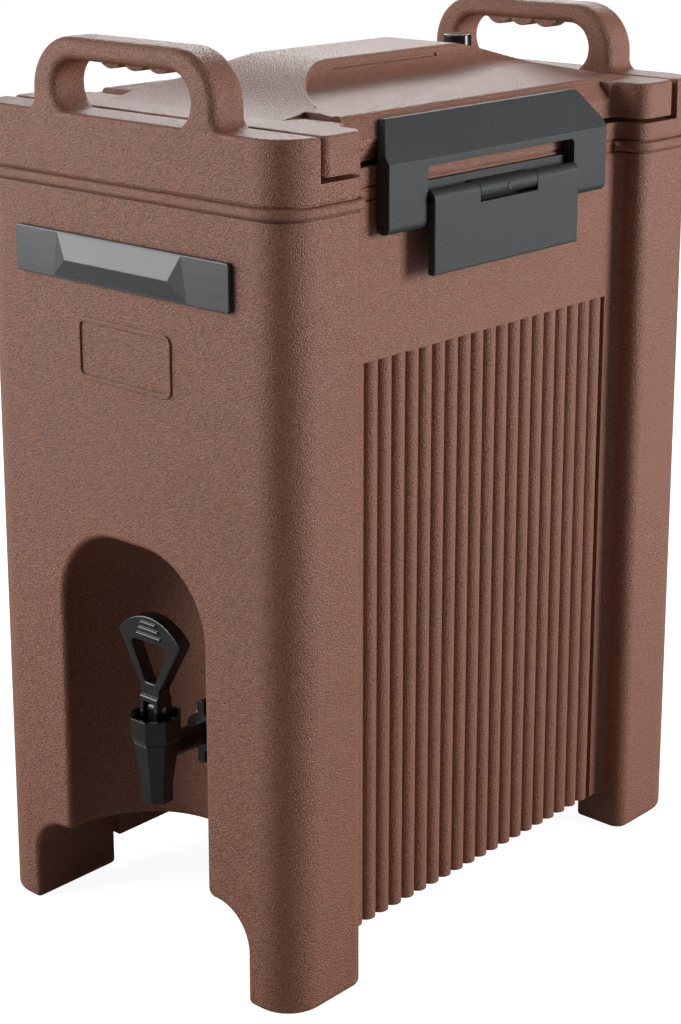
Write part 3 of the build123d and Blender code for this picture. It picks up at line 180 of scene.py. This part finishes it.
def shell_material():
    """Brown moulded polyethylene with a fine sandy grain, lighter along its edges from wear and a painted
    highlight.
    """
    g = Graph("shell_polyethylene")
    grain = g.noise(scale=1150, detail=2.0, rough=0.65)
    pebble = g.cells(scale=1200, smooth=0.3)
    broad = g.noise(scale=7)
    tint = g.ramp(grain, low=(0.098, 0.031, 0.014), high=(0.335, 0.133, 0.077), start=0.36, stop=0.64)
    cloud = g.ramp(broad, low=(0.92, 0.92, 0.92), high=(1.0, 1.0, 1.0))
    soft = g.soft_edges(radius=0.0012)
    wear_and_highlight = g.edge_wear_and_highlight(soft, patches=broad)
    rubbed_and_lit = g.scaled(wear_and_highlight, amount=0.4)
    # painted highlight and wear: edges are mixed toward a lighter brown
    colour = g.mixed(g.shaded(tint, cloud), colour=(0.40, 0.23, 0.17), factor=rubbed_and_lit)
    rough = g.less(g.spread(grain, low=0.36, high=0.56), g.scaled(wear_and_highlight, amount=0.1))
    height = g.total(g.scaled(grain, amount=0.5), g.scaled(pebble, amount=-0.8))
    g.constant("Specular IOR Level", 0.5)
    return g.finish(colour, rough, g.relief(height, depth=0.00055, under=soft))


def lining_material():
    """Smooth brown polyethylene inside the tank and under the lid."""
    g = Graph("lining_polyethylene")
    grain = g.noise(scale=300)
    broad = g.noise(scale=9)
    soft = g.soft_edges(radius=0.001)
    wear_and_highlight = g.edge_wear_and_highlight(soft, patches=broad)
    tint = g.ramp(broad, low=(0.165, 0.064, 0.038), high=(0.215, 0.090, 0.056))
    # edges mixed toward a lighter brown: wear and a painted highlight
    colour = g.mixed(tint, colour=(0.34, 0.20, 0.15), factor=g.scaled(wear_and_highlight, amount=0.3))
    rough = g.spread(grain, low=0.34, high=0.44)
    return g.finish(colour, rough, g.relief(grain, depth=0.00008, under=soft))


def latch_material():
    """Charcoal nylon with a sandy moulded grain and edges greyed by wear and a painted highlight."""
    g = Graph("latch_nylon")
    grain = g.noise(scale=1100, rough=0.7)
    pebble = g.cells(scale=1200)
    broad = g.noise(scale=16)
    tint = g.ramp(grain, low=(0.008, 0.009, 0.010), high=(0.042, 0.046, 0.051), start=0.34, stop=0.66)
    cloud = g.ramp(broad, low=(0.88, 0.88, 0.88), high=(1.0, 1.0, 1.0))
    soft = g.soft_edges(radius=0.001)
    wear_and_highlight = g.edge_wear_and_highlight(soft, patches=broad)
    rubbed_and_lit = g.scaled(wear_and_highlight, amount=0.5)
    # edges mixed toward a lighter grey: wear and a painted highlight
    colour = g.mixed(g.shaded(tint, cloud), colour=(0.15, 0.155, 0.16), factor=rubbed_and_lit)
    rough = g.less(g.spread(grain, low=0.46, high=0.64), g.scaled(wear_and_highlight, amount=0.12))
    height = g.total(g.scaled(grain, amount=0.6), g.scaled(pebble, amount=0.4))
    g.constant("Specular IOR Level", 0.36)
    return g.finish(colour, rough, g.relief(height, depth=0.0004, under=soft))


def tap_material(name):
    """Glossy black plastic with faint flow marks and edges lightened by a painted highlight."""
    g = Graph(name)
    flow = g.noise(scale=40, detail=4.0, rough=0.6, stretch=(1.0, 1.0, 0.3))
    grain = g.noise(scale=900, detail=2.0)
    soft = g.soft_edges(radius=0.0007)
    wear_and_highlight = g.edge_wear_and_highlight(soft, patches=flow)
    tint = g.ramp(flow, low=(0.005, 0.005, 0.006), high=(0.011, 0.011, 0.012))
    # painted highlight: edges mixed toward a lighter grey
    colour = g.mixed(tint, colour=(0.055, 0.055, 0.06), factor=g.scaled(wear_and_highlight, amount=0.5))
    rough = g.spread(flow, low=0.10, high=0.20)
    return g.finish(colour, rough, g.relief(grain, depth=0.00002, under=soft))


def plate_material():
    """Dark grey satin plate with faint rolled lines and scuffs."""
    g = Graph("nameplate_gloss")
    rolled = g.noise(scale=40, rough=0.5, stretch=(1.0, 14.0, 14.0))
    scuffs = g.noise(scale=18, detail=4.0, rough=0.6)
    soft = g.soft_edges(radius=0.0006)
    wear_and_highlight = g.edge_wear_and_highlight(soft, patches=scuffs)
    tint = g.ramp(rolled, low=(0.040, 0.041, 0.043), high=(0.050, 0.051, 0.053))
    # edges mixed toward a lighter grey: wear and a painted highlight
    colour = g.mixed(tint, colour=(0.16, 0.16, 0.165), factor=g.scaled(wear_and_highlight, amount=0.5))
    rough = g.spread(scuffs, low=0.15, high=0.24)
    g.constant("IOR", 1.45)
    return g.finish(colour, rough, g.relief(rolled, depth=0.000004, under=soft))


def rubber_material():
    """Pale silicone rubber."""
    g = Graph("seal_rubber")
    grain = g.noise(scale=500, detail=4.0)
    colour = g.ramp(grain, low=(0.52, 0.52, 0.50), high=(0.63, 0.63, 0.61))
    rough = g.spread(grain, low=0.5, high=0.65)
    return g.finish(colour, rough, g.relief(grain, depth=0.00008))


def steel_material():
    """Plain drawn stainless steel."""
    g = Graph("pin_steel")
    drawn = g.noise(scale=300, rough=0.6, stretch=(4.0, 0.4, 4.0))
    colour = g.ramp(drawn, low=(0.50, 0.50, 0.50), high=(0.62, 0.62, 0.62))
    rough = g.spread(drawn, low=0.24, high=0.38)
    g.constant("Metallic", 1.0)
    return g.finish(colour, rough, g.relief(drawn, depth=0.00001))


def foam_material():
    """Pale rigid foam with fine cells."""
    g = Graph("foam_cells")
    pores = g.cells(scale=420)
    colour = g.ramp(pores, low=(0.52, 0.42, 0.22), high=(0.74, 0.63, 0.40), start=0.1, stop=0.8)
    rough = g.spread(pores, low=0.8, high=0.95)
    return g.finish(colour, rough, g.relief(pores, depth=0.0004))


def screw_material():
    """Blackened steel."""
    g = Graph("screw_black")
    drawn = g.noise(scale=300, rough=0.6)
    colour = g.ramp(drawn, low=(0.035, 0.035, 0.036), high=(0.075, 0.075, 0.077))
    rough = g.spread(drawn, low=0.3, high=0.45)
    g.constant("Metallic", 1.0)
    return g.finish(colour, rough, g.relief(drawn, depth=0.00002))


finishes = {
    "shell": shell_material(),
    "lining": lining_material(),
    "latch": latch_material(),
    "tap": tap_material("tap_gloss"),
    "vent": tap_material("vent_gloss"),
    "nameplate": plate_material(),
    "seal": rubber_material(),
    "steel": steel_material(),
    "foam": foam_material(),
}
for entry in frame["record"]["subparts"]:
    mesh = nodes[entry["node"]].data
    mesh.materials.clear()
    mesh.materials.append(finishes[entry["material_slot"]])
dark_screw = screw_material()
for side in ("right", "left"):
    for piece in ("knuckle_screw_", "lever_pin_", "bail_pin_"):
        nodes[piece + side].data.materials[0] = dark_screw


def stage_material():
    """Pale floor that the camera sees as white, with the object's shadow on it, and a painted reflection:
    a glow on its left-front side that only shiny faces see.
    """
    g = Graph("studio_floor")
    tone = g.noise(scale=3, detail=2.0)
    colour = g.ramp(tone, low=(0.40, 0.40, 0.40), high=(0.42, 0.42, 0.42))
    g.join(colour, g.shader.inputs["Base Color"])
    g.constant("Roughness", 0.9)
    g.constant("Specular IOR Level", 0.0)
    away = g.add("ShaderNodeVectorMath", operation="LENGTH")
    g.join(g.place, away.inputs[0])
    glow = g.spread(
        away.outputs["Value"], low=near_glow, high=far_glow, start=near_glow_at, stop=far_glow_at
    )
    # painted reflection: the floor glows for reflections only, strongest on its left-front side
    leftward = g.add("ShaderNodeVectorMath", operation="DOT_PRODUCT")
    g.join(g.place, leftward.inputs[0])
    leftward.inputs[1].default_value = sheen_side
    sheen = g.spread(
        leftward.outputs["Value"], low=near_sheen, high=far_sheen, start=near_sheen_at, stop=far_sheen_at
    )
    path = g.add("ShaderNodeLightPath")
    seen = g.times(path.outputs["Is Camera Ray"], glow)
    mirrored = g.times(path.outputs["Is Glossy Ray"], sheen)
    g.constant("Emission Color", (1.0, 1.0, 1.0, 1.0))
    g.join(g.total(seen, mirrored), g.shader.inputs["Emission Strength"])
    return g.material


def floor_piece():
    mesh = bpy.data.meshes.new("studio_floor")
    corners = [
        (-floor_reach, -floor_reach, 0.0),
        (floor_reach, -floor_reach, 0.0),
        (floor_reach, floor_reach, 0.0),
        (-floor_reach, floor_reach, 0.0),
    ]
    mesh.from_pydata(corners, [], [(0, 1, 2, 3)])
    mesh.materials.append(stage_material())
    piece = bpy.data.objects.new("studio_floor", mesh)
    bpy.context.scene.collection.objects.link(piece)


floor_piece()


def studio_world():
    """Dim surroundings that shiny surfaces see as pale grey and the camera as white."""
    world = bpy.data.worlds.new("studio")
    bpy.context.scene.world = world
    world.use_nodes = True
    tree = world.node_tree
    back = tree.nodes["Background"]
    path = tree.nodes.new("ShaderNodeLightPath")
    plain = tree.nodes.new("ShaderNodeMapRange")
    plain.inputs["To Min"].default_value = dim_fill
    plain.inputs["To Max"].default_value = pale_gloss
    tree.links.new(path.outputs["Is Glossy Ray"], plain.inputs["Value"])
    strength = tree.nodes.new("ShaderNodeMath")
    strength.operation = "MAXIMUM"
    tree.links.new(path.outputs["Is Camera Ray"], strength.inputs[0])
    tree.links.new(plain.outputs["Result"], strength.inputs[1])
    tree.links.new(strength.outputs["Value"], back.inputs["Strength"])
    back.inputs["Color"].default_value = (1.0, 1.0, 1.0, 1.0)


def lamp(name, place, aim, size, power):
    light = bpy.data.lights.new(name, "AREA")
    light.shape = "RECTANGLE"
    light.size, light.size_y = size
    light.energy = power
    piece = bpy.data.objects.new(name, light)
    piece.location = place
    track = bpy.data.objects.new(name + "_aim", None)
    track.location = aim
    for item in (piece, track):
        bpy.context.scene.collection.objects.link(item)
    hold = piece.constraints.new("TRACK_TO")
    hold.target = track
    hold.track_axis = "TRACK_NEGATIVE_Z"
    hold.up_axis = "UP_Y"


studio_world()
lamp("left_light", place=(-1.75, -2.05, 1.1), aim=(0.0, -0.2, 0.3), size=(2.0, 2.2), power=84.0)
lamp("right_light", place=(2.35, 1.45, 0.85), aim=(0.1, 0.0, 0.33), size=(1.0, 1.3), power=82.0)
lamp("back_light", place=(-1.15, 1.35, 1.35), aim=(0.0, 0.0, 0.55), size=(1.2, 0.5), power=18.0)
lamp("top_light", place=(-0.3, 0.6, 2.0), aim=(0.0, 0.0, 0.5), size=(1.4, 1.4), power=3.0)

camera = bpy.data.cameras.new("photo_camera")
camera.lens = camera_lens
camera.sensor_width = camera_sensor
camera.shift_y = camera_shift
camera.clip_end = camera_clip
viewer = bpy.data.objects.new("photo_camera", camera)
viewer.location = camera_place
viewer.rotation_euler = (radians(90.0 - camera_down), 0.0, radians(camera_turn))
bpy.context.scene.collection.objects.link(viewer)
bpy.context.scene.camera = viewer
bpy.context.scene.view_settings.view_transform = "Standard"
